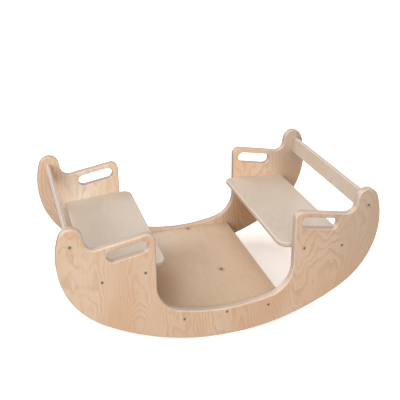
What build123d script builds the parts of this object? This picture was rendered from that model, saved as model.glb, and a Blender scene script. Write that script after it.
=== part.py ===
"""Two-seat rocker for children: two plywood side panels, two seats, two back slats and a foot deck.

Millimetres. +X runs along the rocker, +Y across it, +Z up. The origin is on the floor, midway between
the side panels, under the middle of the rocker.
"""
import math
import os

from build123d import *

# Overall layout
OVERALL_WIDTH = 568.0          # outer face to outer face of the side panels
PANEL_THICKNESS = 24.0
BOARD_THICKNESS = 15.0         # seats, back slats and deck
PANEL_ROUND = 4.0              # rounding of every outer edge of a side panel
BOARD_ROUND = 5.0              # rounding of the free edges of seats
SLAT_ROUND = 3.0               # rounding of slats and deck

# Side panel outline, right half, measured from the point where it touches the floor
ROCKER_RADIUS = 676.0
ROCKER_ANGLE = 31.75
STERN_RADIUS = 242.0
STERN_ANGLE = 77.45
HORN_RADIUS = 32.0
HORN_ANGLE = 150.9
VALLEY_RADIUS = 26.5           # between the horn and the armrest
ARMREST_FRONT_X = 203.0
ARMREST_FRONT_Z = 367.2        # height of the armrest's front corner before rounding
ARMREST_SLOPE = 10.3           # the armrest falls towards the horn
ARMREST_CORNER_RADIUS = 22.0
WELL_FLOOR_Z = 90.0            # lowest point of the cut-out between the armrests
WELL_FLOOR_RADIUS = 560.0
WELL_CORNER_RADIUS = 90.0

# Hand slot under each armrest
SLOT_X = 279.5
SLOT_Z = 320.0
SLOT_LENGTH = 116.0
SLOT_HEIGHT = 36.0
SLOT_ROUND = 3.0

# Seats
SEAT_FRONT_X = 168.0           # middle of the seat's front edge
SEAT_FRONT_Z = 253.1
SEAT_DEPTH = 220.0
SEAT_TILT = 4.5                # the seats fall towards the backs
SEAT_CORNER_RADIUS = 30.0
SEAT_SCREWS = (66.0, 186.0)    # distances from the seat's front edge

# Back slats
SLAT_X = 430.0
SLAT_Z = 357.2
SLAT_HEIGHT = 52.0
SLAT_TILT = 6.0                # the slats lean outwards

# Foot deck
DECK_LENGTH = 361.0
DECK_Z = 77.5                  # middle of the deck's thickness
DECK_SCREW_SPACING = 127.7

# Screws: flat-headed furniture screws with a hexagon socket
SCREW_LENGTH = 60.0
SHANK_RADIUS = 3.5
HEAD_RADIUS = 5.0
HEAD_HEIGHT = 4.0
NECK_HEIGHT = 2.0
TIP_HEIGHT = 3.0
TIP_RADIUS = 1.5
HEAD_RECESS = 0.4              # head below the panel's outer face
SOCKET_FLATS = 4.0
SOCKET_DEPTH = 2.8
HOLE_CLEARANCE = 0.05          # on the radius, around shank and head

# Worked out from the sizes above
HALF_WIDTH = OVERALL_WIDTH / 2
INNER_HALF_WIDTH = HALF_WIDTH - PANEL_THICKNESS
BOARD_LENGTH = 2 * INNER_HALF_WIDTH
SIDES = {"left": -1, "right": 1}
PANELS = {"front": -1, "rear": 1}


def seat_point(distance):
    """Middle of the seat's thickness at a distance from its front edge, on the right-hand side."""
    x = SEAT_FRONT_X + distance * math.cos(math.radians(SEAT_TILT))
    z = SEAT_FRONT_Z - distance * math.sin(math.radians(SEAT_TILT))
    return x, z


def screw_places():
    """Name and (x, z) of the nine screws of one panel."""
    places = {
        "deck_left": (-DECK_SCREW_SPACING, DECK_Z),
        "deck_middle": (0.0, DECK_Z),
        "deck_right": (DECK_SCREW_SPACING, DECK_Z),
    }
    for side, sign in SIDES.items():
        for row, distance in zip(("inner", "outer"), SEAT_SCREWS):
            x, z = seat_point(distance)
            places[f"seat_{side}_{row}"] = (sign * x, z)
        places[f"slat_{side}"] = (sign * SLAT_X, SLAT_Z)
    return places


def panel_outline():
    """Face of a side panel in the XZ plane: arcs for rocker, stern and horn, then armrest and well."""
    slope = math.radians(ARMREST_SLOPE)
    well_centre_z = WELL_FLOOR_Z + WELL_FLOOR_RADIUS
    well_wall_z = well_centre_z - math.sqrt(WELL_FLOOR_RADIUS**2 - ARMREST_FRONT_X**2)
    armrest_corner = (ARMREST_FRONT_X, ARMREST_FRONT_Z)
    armrest_direction = (math.cos(slope), -math.sin(slope))
    well_corner = (ARMREST_FRONT_X, well_wall_z)
    with BuildSketch() as sketch:
        with BuildLine() as line:
            rocker = JernArc((0, 0), (1, 0), ROCKER_RADIUS, ROCKER_ANGLE)
            stern = JernArc(rocker @ 1, rocker % 1, STERN_RADIUS, STERN_ANGLE)
            horn = JernArc(stern @ 1, stern % 1, HORN_RADIUS, HORN_ANGLE)
            armrest_guide = PolarLine(
                armrest_corner, OVERALL_WIDTH, direction=armrest_direction, mode=Mode.PRIVATE
            )
            horn_inside = IntersectingLine(horn @ 1, horn % 1, armrest_guide)
            valley = horn_inside @ 1
            Polyline(valley, armrest_corner, well_corner)
            mirror(line.line, about=Plane.YZ)
            ThreePointArc(well_corner, (0, WELL_FLOOR_Z), (-ARMREST_FRONT_X, well_wall_z))
        make_face()
        corners = {
            VALLEY_RADIUS: (valley.X, valley.Y),
            ARMREST_CORNER_RADIUS: armrest_corner,
            WELL_CORNER_RADIUS: well_corner,
        }
        for radius, (x, z) in corners.items():
            for sign in SIDES.values():
                fillet(sketch.vertices().sort_by_distance(Vector(sign * x, z))[0], radius)
    return sketch.sketch


def hand_slots():
    """The two stadium-shaped hand slots, each parallel to the armrest above it."""
    slots = Sketch()
    for sign in SIDES.values():
        place = Location((sign * SLOT_X, SLOT_Z), -sign * ARMREST_SLOPE)
        slots += place * SlotOverall(SLOT_LENGTH, SLOT_HEIGHT)
    return slots


def side_panel(sign):
    """Upright panel with rounded edges, standing outside the boards on the side that sign gives."""
    middle = Plane((0, sign * (HALF_WIDTH - PANEL_THICKNESS / 2), 0), x_dir=(1, 0, 0), z_dir=(0, -1, 0))
    panel = extrude(middle * panel_outline(), PANEL_THICKNESS / 2, both=True)
    rims = [face.outer_wire().edges() for face in panel.faces().filter_by(Plane.XZ)]
    panel = fillet([edge for rim in rims for edge in rim], PANEL_ROUND)
    slots = extrude(middle * hand_slots(), PANEL_THICKNESS / 2, both=True)
    panel -= slots
    slot_faces = panel.faces().filter_by(lambda face: len(face.inner_wires()) == len(SIDES))
    slot_rims = [wire.edges() for face in slot_faces for wire in face.inner_wires()]
    return fillet([edge for rim in slot_rims for edge in rim], SLOT_ROUND)


def seat():
    """Right-hand seat: a rounded nose in front of the panels and a square body between them."""
    nose_depth = (ARMREST_FRONT_X - SEAT_FRONT_X) / math.cos(math.radians(SEAT_TILT))
    start = (Align.MIN, Align.CENTER, Align.CENTER)
    plate = Box(SEAT_DEPTH, BOARD_LENGTH, BOARD_THICKNESS, align=start)
    body = fillet(plate.edges().filter_by(Axis.Y).group_by(Axis.X)[-1], BOARD_ROUND)
    nose = fillet(plate.edges().filter_by(Axis.Z).group_by(Axis.X)[0], SEAT_CORNER_RADIUS)
    broad_faces = nose.faces().filter_by(Axis.Z)
    nose = fillet(broad_faces.edges(), BOARD_ROUND)
    nose_space = Box(nose_depth, BOARD_LENGTH, BOARD_THICKNESS, align=start)
    whole = (nose & nose_space) + (body - nose_space)
    return Location((SEAT_FRONT_X, 0, SEAT_FRONT_Z), (0, SEAT_TILT, 0)) * whole


def back_slat():
    """Right-hand back slat, leaning outwards."""
    board = Box(BOARD_THICKNESS, BOARD_LENGTH, SLAT_HEIGHT)
    board = fillet(board.edges().filter_by(Axis.Y), SLAT_ROUND)
    return Location((SLAT_X, 0, SLAT_Z), (0, SLAT_TILT, 0)) * board


def foot_deck():
    """Level deck between the panels, low down in the middle."""
    board = Box(DECK_LENGTH, BOARD_LENGTH, BOARD_THICKNESS)
    board = fillet(board.edges().filter_by(Axis.Y), SLAT_ROUND)
    return Location((0, 0, DECK_Z)) * board


def screw_body(growth):
    """Turned shape of a screw, head up and its top at the origin, with growth added all round."""
    head = HEAD_RADIUS + growth
    shank = SHANK_RADIUS + growth
    profile = [
        (0, growth),
        (head, growth),
        (head, -HEAD_HEIGHT),
        (shank, -HEAD_HEIGHT - NECK_HEIGHT),
        (shank, -SCREW_LENGTH + TIP_HEIGHT),
        (TIP_RADIUS + growth, -SCREW_LENGTH - growth),
        (0, -SCREW_LENGTH - growth),
    ]
    face = Plane.XZ * make_face(Polyline(*profile, close=True))
    return revolve(face, Axis.Z)


def screw():
    """Flat-headed screw with a hexagon socket."""
    socket = extrude(RegularPolygon(SOCKET_FLATS / 2, 6, major_radius=False), -SOCKET_DEPTH)
    return screw_body(0) - socket


def screw_hole():
    """Room for one screw, open at the panel's outer face."""
    mouth = Cylinder(HEAD_RADIUS + HOLE_CLEARANCE, 2 * HEAD_RECESS)
    return screw_body(HOLE_CLEARANCE) + mouth


def screw_location(sign, x, z):
    """Where a screw sits in the panel that sign gives, its head facing outwards."""
    head_top = (x, sign * (HALF_WIDTH - HEAD_RECESS), z)
    return Plane(head_top, x_dir=(1, 0, 0), z_dir=(0, sign, 0)).location


def build_parts():
    """Every sub-part by its node name."""
    parts = {f"side_panel_{name}": side_panel(sign) for name, sign in PANELS.items()}
    for maker, name in ((seat, "seat"), (back_slat, "back_slat")):
        right = maker()
        parts[f"{name}_right"] = right
        parts[f"{name}_left"] = mirror(right, about=Plane.YZ)
    parts["foot_deck"] = foot_deck()

    locations = {
        f"screw_{panel}_{place}": screw_location(sign, x, z)
        for panel, sign in PANELS.items()
        for place, (x, z) in screw_places().items()
    }
    hole = screw_hole()
    holes = [location * hole for location in locations.values()]
    parts = {name: part - holes for name, part in parts.items()}
    blank = screw()
    parts.update({name: location * blank for name, location in locations.items()})
    return parts


os.makedirs("parts", exist_ok=True)
for node, part in build_parts().items():
    export_step(part, f"parts/{node}.step")
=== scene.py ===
import math
from collections import namedtuple

import bpy
from mathutils import Euler, Matrix, Vector


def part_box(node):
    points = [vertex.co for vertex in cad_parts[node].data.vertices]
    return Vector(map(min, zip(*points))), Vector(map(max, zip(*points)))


# Looks of a two-seat plywood rocker for children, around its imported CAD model.
# Metres, +X along the rocker, +Y across it, +Z up.
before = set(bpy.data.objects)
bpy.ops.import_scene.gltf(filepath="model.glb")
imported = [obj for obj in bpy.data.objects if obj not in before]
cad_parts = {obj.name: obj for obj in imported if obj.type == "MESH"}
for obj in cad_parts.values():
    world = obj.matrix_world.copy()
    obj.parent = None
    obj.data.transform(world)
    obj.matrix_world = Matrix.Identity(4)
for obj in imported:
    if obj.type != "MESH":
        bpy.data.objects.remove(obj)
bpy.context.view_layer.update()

# Camera: angles in degrees, lens and sensor in millimetres
CAMERA_TARGET = (0.02865, 0.08306, 0.2699)
CAMERA_DISTANCE = 2.3201
CAMERA_AZIMUTH = -16.19
CAMERA_ELEVATION = 24.52
CAMERA_ROLL = -0.68
CAMERA_LENS = 64.34
CAMERA_SENSOR = 36.0

# Lights: directions point from the rocker to the light, spreads are in degrees, a sun's strength is in
# watts per square metre and a lamp's power in watts
Sun = namedtuple("Sun", "name direction strength spread colour")
SUNS = (
    Sun("window", (-0.65, 0.7, 0.65), 1.30, 35.0, (0.98, 0.99, 1.02)),
    Sun("ceiling", (-0.10, -0.15, 1.0), 1.06, 50.0, (1.0, 1.0, 1.0)),
    Sun("front", (-0.1, -1.0, 0.45), 1.50, 60.0, (1.0, 1.0, 1.0)),
    Sun("fill", (1.0, 0.7, 0.15), 0.80, 60.0, (1.0, 1.0, 1.0)),
    Sun("side", (-1.0, -0.9, 0.3), 0.48, 50.0, (1.0, 1.0, 1.0)),
)
KEY_PLACE = (-1.25, -1.9, 0.75)
KEY_SIZE = 1.2
KEY_POWER = 14.0
BACKDROP_PLACE = (-0.4, 3.0, 1.4)
BACKDROP_SIZE = (4.5, 2.2)
BACKDROP_POWER = 12.0
SKY_COLOUR = (0.12, 0.07, 0.03)
GROUND_COLOUR = (0.14, 0.07, 0.035)
HORIZON_BLUR = 0.15              # sine of the angle to the horizon within which ground turns to sky
WHITE = (1.0, 1.0, 1.0)

# Floor
FLOOR_SIDE = 60.0
FLOOR_COLOURS = ((0.92, 0.84, 0.76), (0.94, 0.86, 0.78))
FLOOR_CLOUD_SCALE = (3, 3, 3)
FLOOR_GLOW = (0.65, 0.65, 0.65)  # painted light that keeps the open floor white and hides the rocker's shadow on it
SHADE_GLOW = (0.49, 0.48, 0.47)  # weaker glow in an oval under the rocker, where its own shadow shows
SHADE_MIDDLE = (0.0, 0.08)
SHADE_HALF_SIZES = (0.50, 0.37)
SHADE_RIM = (0.85, 1.05)         # where the shaded oval starts and stops fading out, 1 at its half sizes

# Boards
BOARD_THICKNESS = 0.015          # seats, back slats and deck
SEAT_TILT = 4.5                  # degrees
SLAT_TILT = 6.0
PLY = 0.0014                     # thickness of one layer of veneer
GLUE_SHARE = 0.1                 # share of a layer that its glue line takes
GLUE_DEPTH = 0.35                # how strongly the glue lines show
GLUE_COLOUR = (0.22, 0.12, 0.07)
GAP_COLOUR = (0.10, 0.05, 0.03)
CROSSED_RANGE = (0.1, 0.6)       # levels of the unevenness between which a crossed layer turns dark
FACE_SHARE = (0.75, 0.95)        # share of the outermost layer that has the colour of the face
FIBRE_RELIEF = 0.7               # heights that fibres, rings and pores have in the bump
RING_RELIEF = -0.2
PORE_RELIEF = 0.4
BOARD_ROUGHNESS = (0.40, 0.56)   # between and on the fibres
ROUGHNESS_LEVELS = (0.3, 0.75)   # levels of the fibres between which the roughness changes

# Rims of the boards. How much a surface faces the way the board does is 0 on the flat of its edge and 1 on
# its face, and these are the values between which the rim starts.
EDGE_TO_RIM = (0.15, 0.45)
FACE_TO_RIM = (0.99, 0.90)
RIM_HIGHLIGHT_TINT = (1.00, 1.03, 1.06)  # painted highlight: the rounded rims are drawn paler than the face

# Growth rings
HEART_WIDTH = 0.045              # half width of the strip where the rings arch over from side to side
RIPPLE_RINGS = 3.6               # how many rings the ripple can shift a line by
RING_START = 0.40                # place within a ring where it starts to darken
RING_END = 0.86                  # place where it is darkest, before it stops
FAINT_RING = 0.35                # strength left where a ring is faintest

# Knots: sizes in the knot's own radii
KNOT_LENGTH = 1.3
KNOT_REACH = (5, 14)             # how far the rings bend around it, across and along the grain
KNOT_RINGS = 2.5
KNOT_WOBBLE = 0.8
KNOT_STAIN = (0.42, 0.22, 0.09)
KNOT_STAIN_EDGE = (3.0, 1.0)     # distances from the middle between which the stain appears
KNOT_STAIN_DEPTH = 0.60
KNOT_HEART = (0.07, 0.035, 0.02)
KNOT_HEART_EDGE = (1.3, 0.8)

# A layer of noise: waves per metre on each axis, detail and roughness of the noise, and the levels between
# which it fades in, up to its depth. Boards: first axis across the grain, second along it, third through.
Grain = namedtuple("Grain", "scale detail roughness start end depth", defaults=(0.0, 1.0, 1.0))
RIPPLE = Grain((24, 10, 0), 3.0, 0.55)
FAINTNESS = Grain((16, 5, 0), 1.0, 0.5, 0.30, 0.62)
BLOTCHES = Grain((7, 3.2, 0), 2.0, 0.5, 0.35, 0.68)
FIBRES = Grain((520, 11, 0), 4.0, 0.62, 0.42, 0.72, 0.36)
PORES = Grain((1500, 70, 0), 2.0, 0.5, 0.66, 0.80, 0.3)
KNOT_OUTLINE = Grain((240, 160, 0), 2.0, 0.5)
EDGE_STREAKS = Grain((18, 18, 1100), 3.0, 0.6, 0.35, 0.70, 0.4)
EDGE_GAPS = Grain((60, 60, 700), 1.0, 0.5, 0.82, 0.86, 0.7)
STAINS = Grain((420, 420, 420), 4.0, 0.6, 0.35, 0.70)
SCRATCHES = Grain((2600, 300, 900), 2.0, 0.5, 0.60, 0.75, 0.5)

# Screws
STEEL = (0.50, 0.48, 0.42)
STAINED_STEEL = (0.32, 0.30, 0.26)
SCRATCHED_STEEL = (0.60, 0.59, 0.56)
# painted shade down in the hexagon socket of each screw head
SOCKET_SHADE = (0.12, 0.115, 0.10)
SOCKET_SHADE_DEPTH = 0.85              # how strongly the painted shade darkens the socket
SOCKET_TOP = 0.0002              # depths below the top of the head between which the painted shade sets in
SOCKET_BOTTOM = 0.001
SCRATCH_RELIEF = 0.5
STEEL_ROUGHNESS = (0.30, 0.52)   # between and on the stains
STAIN_LEVELS = (0.3, 0.7)        # levels of the stains between which the roughness changes

# Colours of a kind of board. The face goes from pale to warm in blotches, with rings at ring_depth. The
# relief behind the rings has across_scale and along_scale waves per metre and spans so many rings, and the
# rings drift by so many per metre away from the arches.
Finish = namedtuple(
    "Finish", "pale ring warm edge_pale edge_dark ring_depth across_scale along_scale rings drift"
)
BIRCH = Finish(
    pale=(0.79, 0.610, 0.460),
    ring=(0.63, 0.410, 0.250),
    warm=(0.75, 0.525, 0.350),
    edge_pale=(0.74, 0.635, 0.550),
    edge_dark=(0.48, 0.350, 0.260),
    ring_depth=0.62,
    across_scale=7.0,
    along_scale=2.2,
    rings=24.0,
    drift=62.0,
)
# Seats: paler and greyer than the panels, partly their own tone and partly a painted sheen on their tops
PALE_BIRCH = BIRCH._replace(
    pale=(0.72, 0.640, 0.555),
    ring=(0.62, 0.525, 0.420),
    warm=(0.68, 0.590, 0.495),
    edge_pale=(0.72, 0.600, 0.500),
    edge_dark=(0.54, 0.420, 0.330),
    ring_depth=0.32,
    drift=45.0,
)
SLAT_BIRCH = PALE_BIRCH._replace(
    pale=(0.70, 0.600, 0.505),
    ring=(0.59, 0.480, 0.370),
    warm=(0.66, 0.555, 0.450),
    edge_pale=(0.86, 0.770, 0.690),
    edge_dark=(0.46, 0.360, 0.290),
)
DECK_BIRCH = PALE_BIRCH._replace(
    pale=(0.68, 0.520, 0.375),
    ring=(0.56, 0.395, 0.255),
    warm=(0.65, 0.475, 0.330),
    ring_depth=0.25,
    along_scale=0.9,
    rings=12.0,
    drift=20.0,
)

# Marks on a board's face, each at its place across and along the grain. A hill in the relief adds rings, or
# takes them away where the number is negative. A light patch tints the wood to paint light, shade or sheen
# onto it, as the note beside each one says.
Hill = namedtuple("Hill", "across along half_width half_length rings")
Patch = namedtuple("Patch", "across along half_width half_length tint")
Knot = namedtuple("Knot", "across along radius")

# What tells one board from the next: the seed of its noise, where the line that its rings arch over lies
# across the grain, and its marks
Figure = namedtuple("Figure", "seed heart hills knots patches", defaults=((), (), ()))
FIGURES = {
    "side_panel_front": Figure(
        seed=4,
        heart=-0.272,
        hills=(Hill(-0.272, 0.090, 0.085, 0.085, -3.4),),        # arches below the left hand slot
        patches=(
            Patch(-0.47, 0.33, 0.10, 0.13, (1.00, 1.08, 1.14)),  # painted light on the left horn
            Patch(0.50, 0.32, 0.30, 0.40, (0.85, 0.90, 0.96)),   # painted shade on the right end
        ),
    ),
    "side_panel_rear": Figure(
        seed=11,
        heart=0.10,
        patches=(
            Patch(-0.30, 0.31, 0.16, 0.26, (1.15, 1.30, 1.46)),  # painted light on the left half, partly a paler veneer
            Patch(0.43, 0.36, 0.16, 0.20, (0.74, 0.76, 0.82)),   # painted shade on the right horn
            Patch(0.28, 0.13, 0.17, 0.15, (0.84, 0.70, 0.56)),   # painted shade below the right seat
        ),
    ),
    "seat_left": Figure(seed=17, heart=-0.03),
    "seat_right": Figure(seed=23, heart=0.03),
    "back_slat_left": Figure(seed=29, heart=0.4),
    "back_slat_right": Figure(seed=33, heart=0.4),
    "foot_deck": Figure(
        seed=41,
        heart=0.05,
        knots=(Knot(0.056, -0.057, 0.0065), Knot(0.032, 0.250, 0.0060)),
        patches=(
            Patch(-0.08, 0.21, 0.18, 0.15, (1.12, 1.22, 1.36)),   # painted sheen on the far left corner
            Patch(-0.17, -0.08, 0.12, 0.20, (0.84, 0.73, 0.61)),  # painted shadow beside the left seat
        ),
    ),
}


class Graph:
    """Node tree of a material or of the world. A value may be a number or another node's output."""

    def __init__(self, owner):
        owner.use_nodes = True
        self.owner = owner
        self.tree = owner.node_tree
        self.tree.nodes.clear()

    def plug(self, socket, value):
        if isinstance(value, bpy.types.NodeSocket):
            self.tree.links.new(value, socket)
        else:
            socket.default_value = value

    def add(self, kind, inputs, **settings):
        node = self.tree.nodes.new("ShaderNode" + kind)
        for name, value in settings.items():
            setattr(node, name, value)
        for socket, value in inputs.items():
            self.plug(node.inputs[socket], value)
        return node

    def math(self, operation, *values):
        return self.add("Math", dict(enumerate(values)), operation=operation).outputs[0]

    def axis(self, vector, name):
        return self.add("SeparateXYZ", {0: vector}).outputs[name]

    def fade(self, value, start, end, low=0.0, high=1.0):
        """Smooth step from low at start to high at end."""
        inputs = {"Value": value, "From Min": start, "From Max": end, "To Min": low, "To Max": high}
        return self.add("MapRange", inputs, interpolation_type="SMOOTHSTEP").outputs[0]

    def noise(self, place, scale, offset, detail, roughness=0.5):
        """Noise with its own scale on each axis. The offset keeps one layer from repeating another."""
        inputs = {"Vector": place, "Scale": scale, "Location": offset}
        stretched = self.add("Mapping", inputs, vector_type="POINT").outputs[0]
        inputs = {"Vector": stretched, "Scale": 1.0, "Detail": detail, "Roughness": roughness}
        return self.add("TexNoise", inputs).outputs[0]

    def grain(self, place, grain, offset=(0, 0, 0)):
        return self.noise(place, grain.scale, offset, grain.detail, grain.roughness)

    def shown(self, noise, grain):
        """How strongly a layer of noise shows."""
        return self.fade(noise, grain.start, grain.end, 0.0, grain.depth)

    def blend(self, factor, first, second, kind="MIX"):
        """Colour between first, at factor 0, and second, at factor 1."""
        node = self.add("Mix", {}, data_type="RGBA", blend_type=kind)
        for socket, value in ((0, factor), (6, first), (7, second)):
            if isinstance(value, tuple):
                value = (*value, 1.0)
            self.plug(node.inputs[socket], value)
        return node.outputs[2]

    def finish(self, shader, output="OutputMaterial"):
        """Shows the shader, and returns the material or world."""
        self.plug(self.add(output, {}).inputs["Surface"], shader.outputs[0])
        return self.owner


def board_axes(across, along):
    """Euler angles of a frame whose X runs across the grain, Y along it and Z through the board."""
    across, along = Vector(across), Vector(along)
    return Matrix((across, along, across.cross(along))).transposed().to_euler()


def tilted(axis, degrees):
    """An axis turned about +Y."""
    return Euler((0, math.radians(degrees), 0)).to_matrix() @ Vector(axis)


def middle_of(node):
    low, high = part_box(node)
    return (low + high) / 2


def spot(graph, place, across, along, half_width, half_length):
    """Distance from a point of the board's face, 1 at the half sizes."""
    inputs = {"Vector": place, "Location": (across, along, 0), "Scale": (half_width, half_length, 1)}
    moved = graph.add("Mapping", inputs, vector_type="TEXTURE").outputs[0]
    flat = graph.add("VectorMath", {0: moved, 1: (1, 1, 0)}, operation="MULTIPLY").outputs[0]
    return graph.add("VectorMath", {0: flat}, operation="LENGTH").outputs["Value"]


def growth_rings(graph, place, finish, figure):
    """Dark ring lines of rotary-cut veneer: level lines of a smooth relief stretched along the grain."""
    seed = figure.seed
    scale = (finish.across_scale, finish.along_scale, 0)
    relief = graph.noise(place, scale, (seed, seed * 1.7, seed * 0.3), detail=0.6, roughness=0.35)
    level = graph.math("MULTIPLY", relief, finish.rings)
    ripple = graph.grain(place, RIPPLE, (seed, 8, 2))
    level = graph.math("ADD", level, graph.math("MULTIPLY", ripple, RIPPLE_RINGS))
    across = graph.math("SUBTRACT", graph.axis(place, "X"), figure.heart)
    fold = graph.math("SQRT", graph.math("MULTIPLY_ADD", across, across, HEART_WIDTH ** 2))
    level = graph.math("ADD", level, graph.math("MULTIPLY", fold, finish.drift))
    for hill in figure.hills:
        distance = spot(graph, place, hill.across, hill.along, hill.half_width, hill.half_length)
        level = graph.math("ADD", level, graph.fade(distance, 1.0, 0.0, 0.0, hill.rings))
    for knot in figure.knots:
        half_width, half_length = (knot.radius * reach for reach in KNOT_REACH)
        distance = spot(graph, place, knot.across, knot.along, half_width, half_length)
        level = graph.math("ADD", level, graph.fade(distance, 1.0, 0.0, 0.0, KNOT_RINGS))
    phase = graph.math("FRACT", level)
    rise = graph.fade(phase, RING_START, RING_END)
    fall = graph.fade(phase, RING_END, 1.0, 1.0, 0.0)
    line = graph.math("MULTIPLY", rise, fall)
    patchy = graph.grain(place, FAINTNESS, (seed, 3, 1))
    return graph.math("MULTIPLY", line, graph.fade(patchy, FAINTNESS.start, FAINTNESS.end, FAINT_RING, 1.0))


def knot_colour(graph, place, colour, knots):
    """Small brown knots with a dark heart."""
    for knot in knots:
        wobble = graph.math("MULTIPLY", graph.grain(place, KNOT_OUTLINE), KNOT_WOBBLE)
        distance = spot(graph, place, knot.across, knot.along, knot.radius, knot.radius * KNOT_LENGTH)
        distance = graph.math("ADD", distance, wobble)
        stain = graph.fade(distance, *KNOT_STAIN_EDGE, 0.0, KNOT_STAIN_DEPTH)
        colour = graph.blend(stain, colour, KNOT_STAIN)
        colour = graph.blend(graph.fade(distance, *KNOT_HEART_EDGE), colour, KNOT_HEART)
    return colour


def ply_layers(graph, place, thickness, finish, seed):
    """Colour of the cut edge, and how much of it shows: layers of crossed veneer between thin glue lines."""
    through = graph.axis(place, "Z")
    layer = graph.math("DIVIDE", graph.math("ADD", through, thickness / 2), PLY)
    number = graph.math("FLOOR", layer)
    uneven = graph.add("TexWhiteNoise", {"W": graph.math("ADD", number, seed)}, noise_dimensions="1D")
    crossed = graph.math("SUBTRACT", 1.0, graph.math("MODULO", number, 2.0))
    crossed = graph.fade(graph.math("MULTIPLY", crossed, uneven.outputs["Value"]), *CROSSED_RANGE)
    glue = graph.fade(graph.math("PINGPONG", layer, 0.5), GLUE_SHARE, GLUE_SHARE / 3)
    streaks = graph.grain(place, EDGE_STREAKS, (seed, seed, 0))
    gaps = graph.grain(place, EDGE_GAPS, (seed, 9, 4))
    colour = graph.blend(crossed, finish.edge_pale, finish.edge_dark)
    colour = graph.blend(graph.shown(streaks, EDGE_STREAKS), colour, finish.edge_dark)
    colour = graph.blend(graph.math("MULTIPLY", glue, GLUE_DEPTH), colour, GLUE_COLOUR)
    colour = graph.blend(graph.shown(gaps, EDGE_GAPS), colour, GAP_COLOUR)
    inside = graph.math("ABSOLUTE", through)
    shows = graph.fade(inside, *(thickness / 2 - PLY * share for share in FACE_SHARE))
    return colour, shows


def rounding(graph, axes):
    """1 on the rounded rims of a board, 0 on its flat faces and on the flat of its edge."""
    across_board = axes.to_matrix() @ Vector((0, 0, 1))
    normal = graph.add("NewGeometry", {}).outputs["Normal"]
    facing = graph.add("VectorMath", {0: normal, 1: across_board}, operation="DOT_PRODUCT")
    facing = graph.math("ABSOLUTE", facing.outputs["Value"])
    return graph.math("MULTIPLY", graph.fade(facing, *EDGE_TO_RIM), graph.fade(facing, *FACE_TO_RIM))


def plywood(name, centre, axes, thickness, finish):
    """Lacquered birch plywood: a figured face veneer with painted light and shade on some faces, crossed
    layers at the edges and rounded rims with a painted highlight.
    """
    figure = FIGURES[name]
    seed = figure.seed
    graph = Graph(bpy.data.materials.new(name))
    texture = graph.add("TexCoord", {})
    inputs = {"Vector": texture.outputs["Object"], "Location": centre, "Rotation": axes}
    place = graph.add("Mapping", inputs, vector_type="TEXTURE").outputs[0]

    rings = growth_rings(graph, place, finish, figure)
    fibres = graph.grain(place, FIBRES, (seed, 0, 0))
    pores = graph.grain(place, PORES, (0, seed, 0))
    blotches = graph.grain(place, BLOTCHES, (seed, 5, 2))

    face = graph.blend(graph.shown(blotches, BLOTCHES), finish.pale, finish.warm)
    face = graph.blend(graph.math("MULTIPLY", rings, finish.ring_depth), face, finish.ring)
    face = graph.blend(graph.shown(fibres, FIBRES), face, finish.ring)
    face = graph.blend(graph.shown(pores, PORES), face, finish.edge_dark)
    # painted light and painted shade from each light patch
    for patch in figure.patches:
        distance = spot(graph, place, patch.across, patch.along, patch.half_width, patch.half_length)
        face = graph.blend(graph.fade(distance, 1.0, 0.2), face, patch.tint, "MULTIPLY")
    face = knot_colour(graph, place, face, figure.knots)

    edge, shows = ply_layers(graph, place, thickness, finish, seed)
    colour = graph.blend(shows, face, edge)
    # painted highlight on the rounded rims
    colour = graph.blend(rounding(graph, axes), colour, RIM_HIGHLIGHT_TINT, "MULTIPLY")

    relief = graph.math("MULTIPLY", fibres, FIBRE_RELIEF)
    relief = graph.math("ADD", relief, graph.math("MULTIPLY", rings, RING_RELIEF))
    relief = graph.math("SUBTRACT", relief, graph.fade(pores, PORES.start, PORES.end, 0.0, PORE_RELIEF))
    bump = graph.add("Bump", {"Height": relief, "Strength": 0.35, "Distance": 0.0003})
    shader = graph.add("BsdfPrincipled", {
        "Base Color": colour,
        "Roughness": graph.fade(fibres, *ROUGHNESS_LEVELS, *BOARD_ROUGHNESS),
        "Normal": bump.outputs[0],
        "IOR": 1.5,
        "Specular IOR Level": 0.5,
        "Coat Weight": 0.30,
        "Coat Roughness": 0.28,
        "Coat IOR": 1.5,
    })
    return graph.finish(shader)


def dark_steel(name, head_top):
    """Dull bronzed steel, slightly stained and scratched, with painted shade down in the hexagon socket."""
    graph = Graph(bpy.data.materials.new(name))
    place = graph.add("TexCoord", {}).outputs["Object"]
    outward = graph.math("ABSOLUTE", graph.axis(place, "Y"))
    socket = graph.fade(outward, head_top - SOCKET_TOP, head_top - SOCKET_BOTTOM)
    stains = graph.grain(place, STAINS)
    scratches = graph.grain(place, SCRATCHES)
    colour = graph.blend(graph.shown(stains, STAINS), STEEL, STAINED_STEEL)
    colour = graph.blend(graph.shown(scratches, SCRATCHES), colour, SCRATCHED_STEEL)
    # painted shade in the socket
    colour = graph.blend(graph.math("MULTIPLY", socket, SOCKET_SHADE_DEPTH), colour, SOCKET_SHADE)
    relief = graph.math("ADD", stains, graph.math("MULTIPLY", scratches, SCRATCH_RELIEF))
    bump = graph.add("Bump", {"Height": relief, "Strength": 0.3, "Distance": 0.0001})
    shader = graph.add("BsdfPrincipled", {
        "Base Color": colour,
        "Metallic": 0.35,
        "Roughness": graph.fade(stains, *STAIN_LEVELS, *STEEL_ROUGHNESS),
        "Normal": bump.outputs[0],
    })
    return graph.finish(shader)


def paint(name, material):
    """Gives a CAD node its material."""
    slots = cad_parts[name].data.materials
    slots.clear()
    slots.append(material)


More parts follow.
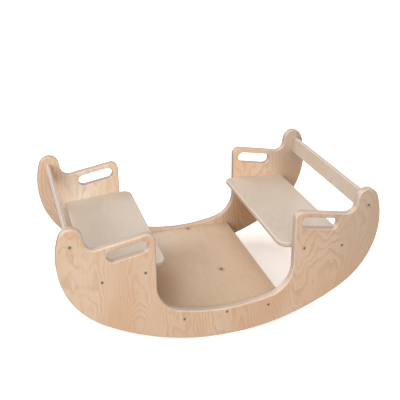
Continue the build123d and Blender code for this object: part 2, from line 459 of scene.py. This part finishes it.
def paint_boards():
    """A material for each board, so that no two boards share their figure."""
    upright = board_axes((1, 0, 0), (0, 0, 1))
    for name in ("side_panel_front", "side_panel_rear"):
        low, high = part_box(name)
        centre = (0, (low.y + high.y) / 2, 0)
        paint(name, plywood(name, centre, upright, high.y - low.y, BIRCH))
    for side, sign in (("left", -1), ("right", 1)):
        axes = board_axes(tilted((1, 0, 0), sign * SEAT_TILT), (0, 1, 0))
        paint_board(f"seat_{side}", axes, PALE_BIRCH)
        axes = board_axes((0, 1, 0), tilted((0, 0, 1), sign * SLAT_TILT))
        paint_board(f"back_slat_{side}", axes, SLAT_BIRCH)
    paint_board("foot_deck", board_axes((1, 0, 0), (0, 1, 0)), DECK_BIRCH)


def paint_board(name, axes, finish):
    """Paints a board that has the thickness of the seats, with its figure measured from its middle."""
    paint(name, plywood(name, middle_of(name), axes, BOARD_THICKNESS, finish))


def paint_screws():
    """One steel for all the screws."""
    names = [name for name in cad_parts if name.startswith("screw_")]
    head_top = max(abs(corner.y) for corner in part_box(names[0]))
    steel = dark_steel("screw_steel", head_top)
    for name in names:
        paint(name, steel)


def make_floor():
    """Large pale floor under the rocker, glowing with painted light that hides its shadow outside an oval
    under it.
    """
    half = FLOOR_SIDE / 2
    mesh = bpy.data.meshes.new("floor")
    corners = [(-half, -half, 0), (half, -half, 0), (half, half, 0), (-half, half, 0)]
    mesh.from_pydata(corners, [], [(0, 1, 2, 3)])
    floor = bpy.data.objects.new("floor", mesh)
    bpy.context.scene.collection.objects.link(floor)
    graph = Graph(bpy.data.materials.new("floor"))
    place = graph.add("TexCoord", {}).outputs["Object"]
    cloud = graph.noise(place, FLOOR_CLOUD_SCALE, (0, 0, 0), detail=2.0)
    # painted light: full glow outside the oval hides the rocker's shadow there
    shadow_hiding_glow = graph.fade(spot(graph, place, *SHADE_MIDDLE, *SHADE_HALF_SIZES), *SHADE_RIM)
    shader = graph.add("BsdfPrincipled", {
        "Base Color": graph.blend(cloud, *FLOOR_COLOURS),
        "Roughness": 0.9,
        "Specular IOR Level": 0.1,
        "Emission Color": graph.blend(shadow_hiding_glow, SHADE_GLOW, FLOOR_GLOW),
        "Emission Strength": 1.0,
    })
    mesh.materials.append(graph.finish(shader))
    floor.visible_diffuse = False
    floor.visible_glossy = False


def make_surroundings():
    """Dim warm surroundings, which the camera sees as plain white."""
    graph = Graph(bpy.data.worlds.new("studio"))
    height = graph.axis(graph.add("TexCoord", {}).outputs["Generated"], "Z")
    inputs = {"Value": height, "From Min": -HORIZON_BLUR, "From Max": HORIZON_BLUR}
    upward = graph.add("MapRange", inputs).outputs[0]
    glow = graph.blend(upward, GROUND_COLOUR, SKY_COLOUR)
    seen = graph.add("LightPath", {}).outputs["Is Camera Ray"]
    background = graph.add("Background", {"Color": graph.blend(seen, glow, WHITE)})
    bpy.context.scene.world = graph.finish(background, "OutputWorld")


def make_lights():
    """Wide soft suns, a soft round lamp near the left end and a wide soft lamp behind the rocker."""
    for sun in SUNS:
        light = bpy.data.lights.new(sun.name, "SUN")
        light.energy = sun.strength
        light.angle = math.radians(sun.spread)
        light.color = sun.colour
        place_light(light, sun.direction, (0, 0, 0))
    key = bpy.data.lights.new("key", "AREA")
    key.shape = "DISK"
    key.size = KEY_SIZE
    key.energy = KEY_POWER
    place_light(key, KEY_PLACE, CAMERA_TARGET)
    backdrop = bpy.data.lights.new("backdrop", "AREA")
    backdrop.shape = "RECTANGLE"
    backdrop.size, backdrop.size_y = BACKDROP_SIZE
    backdrop.energy = BACKDROP_POWER
    place_light(backdrop, BACKDROP_PLACE, CAMERA_TARGET)


def place_light(light, place, target):
    """Puts a light at a place, shining towards the target."""
    lamp = bpy.data.objects.new(light.name, light)
    lamp.location = place
    lamp.rotation_euler = (Vector(target) - lamp.location).to_track_quat("-Z", "Y").to_euler()
    bpy.context.scene.collection.objects.link(lamp)


def make_camera():
    """Camera in front of the rocker, a little to its left and above it."""
    azimuth, elevation = math.radians(CAMERA_AZIMUTH), math.radians(CAMERA_ELEVATION)
    back = Vector((
        math.sin(azimuth) * math.cos(elevation),
        -math.cos(azimuth) * math.cos(elevation),
        math.sin(elevation),
    ))
    lens = bpy.data.cameras.new("camera")
    lens.sensor_width = CAMERA_SENSOR
    lens.lens = CAMERA_LENS
    camera = bpy.data.objects.new("camera", lens)
    level = back.to_track_quat("Z", "Y").to_matrix()
    turned = level @ Matrix.Rotation(math.radians(CAMERA_ROLL), 3, "Z")
    camera.matrix_world = Matrix.Translation(Vector(CAMERA_TARGET) + back * CAMERA_DISTANCE) @ turned.to_4x4()
    bpy.context.scene.collection.objects.link(camera)
    bpy.context.scene.camera = camera


make_camera()
make_surroundings()
make_lights()
make_floor()
paint_boards()
paint_screws()
bpy.context.scene.view_settings.view_transform = "Standard"
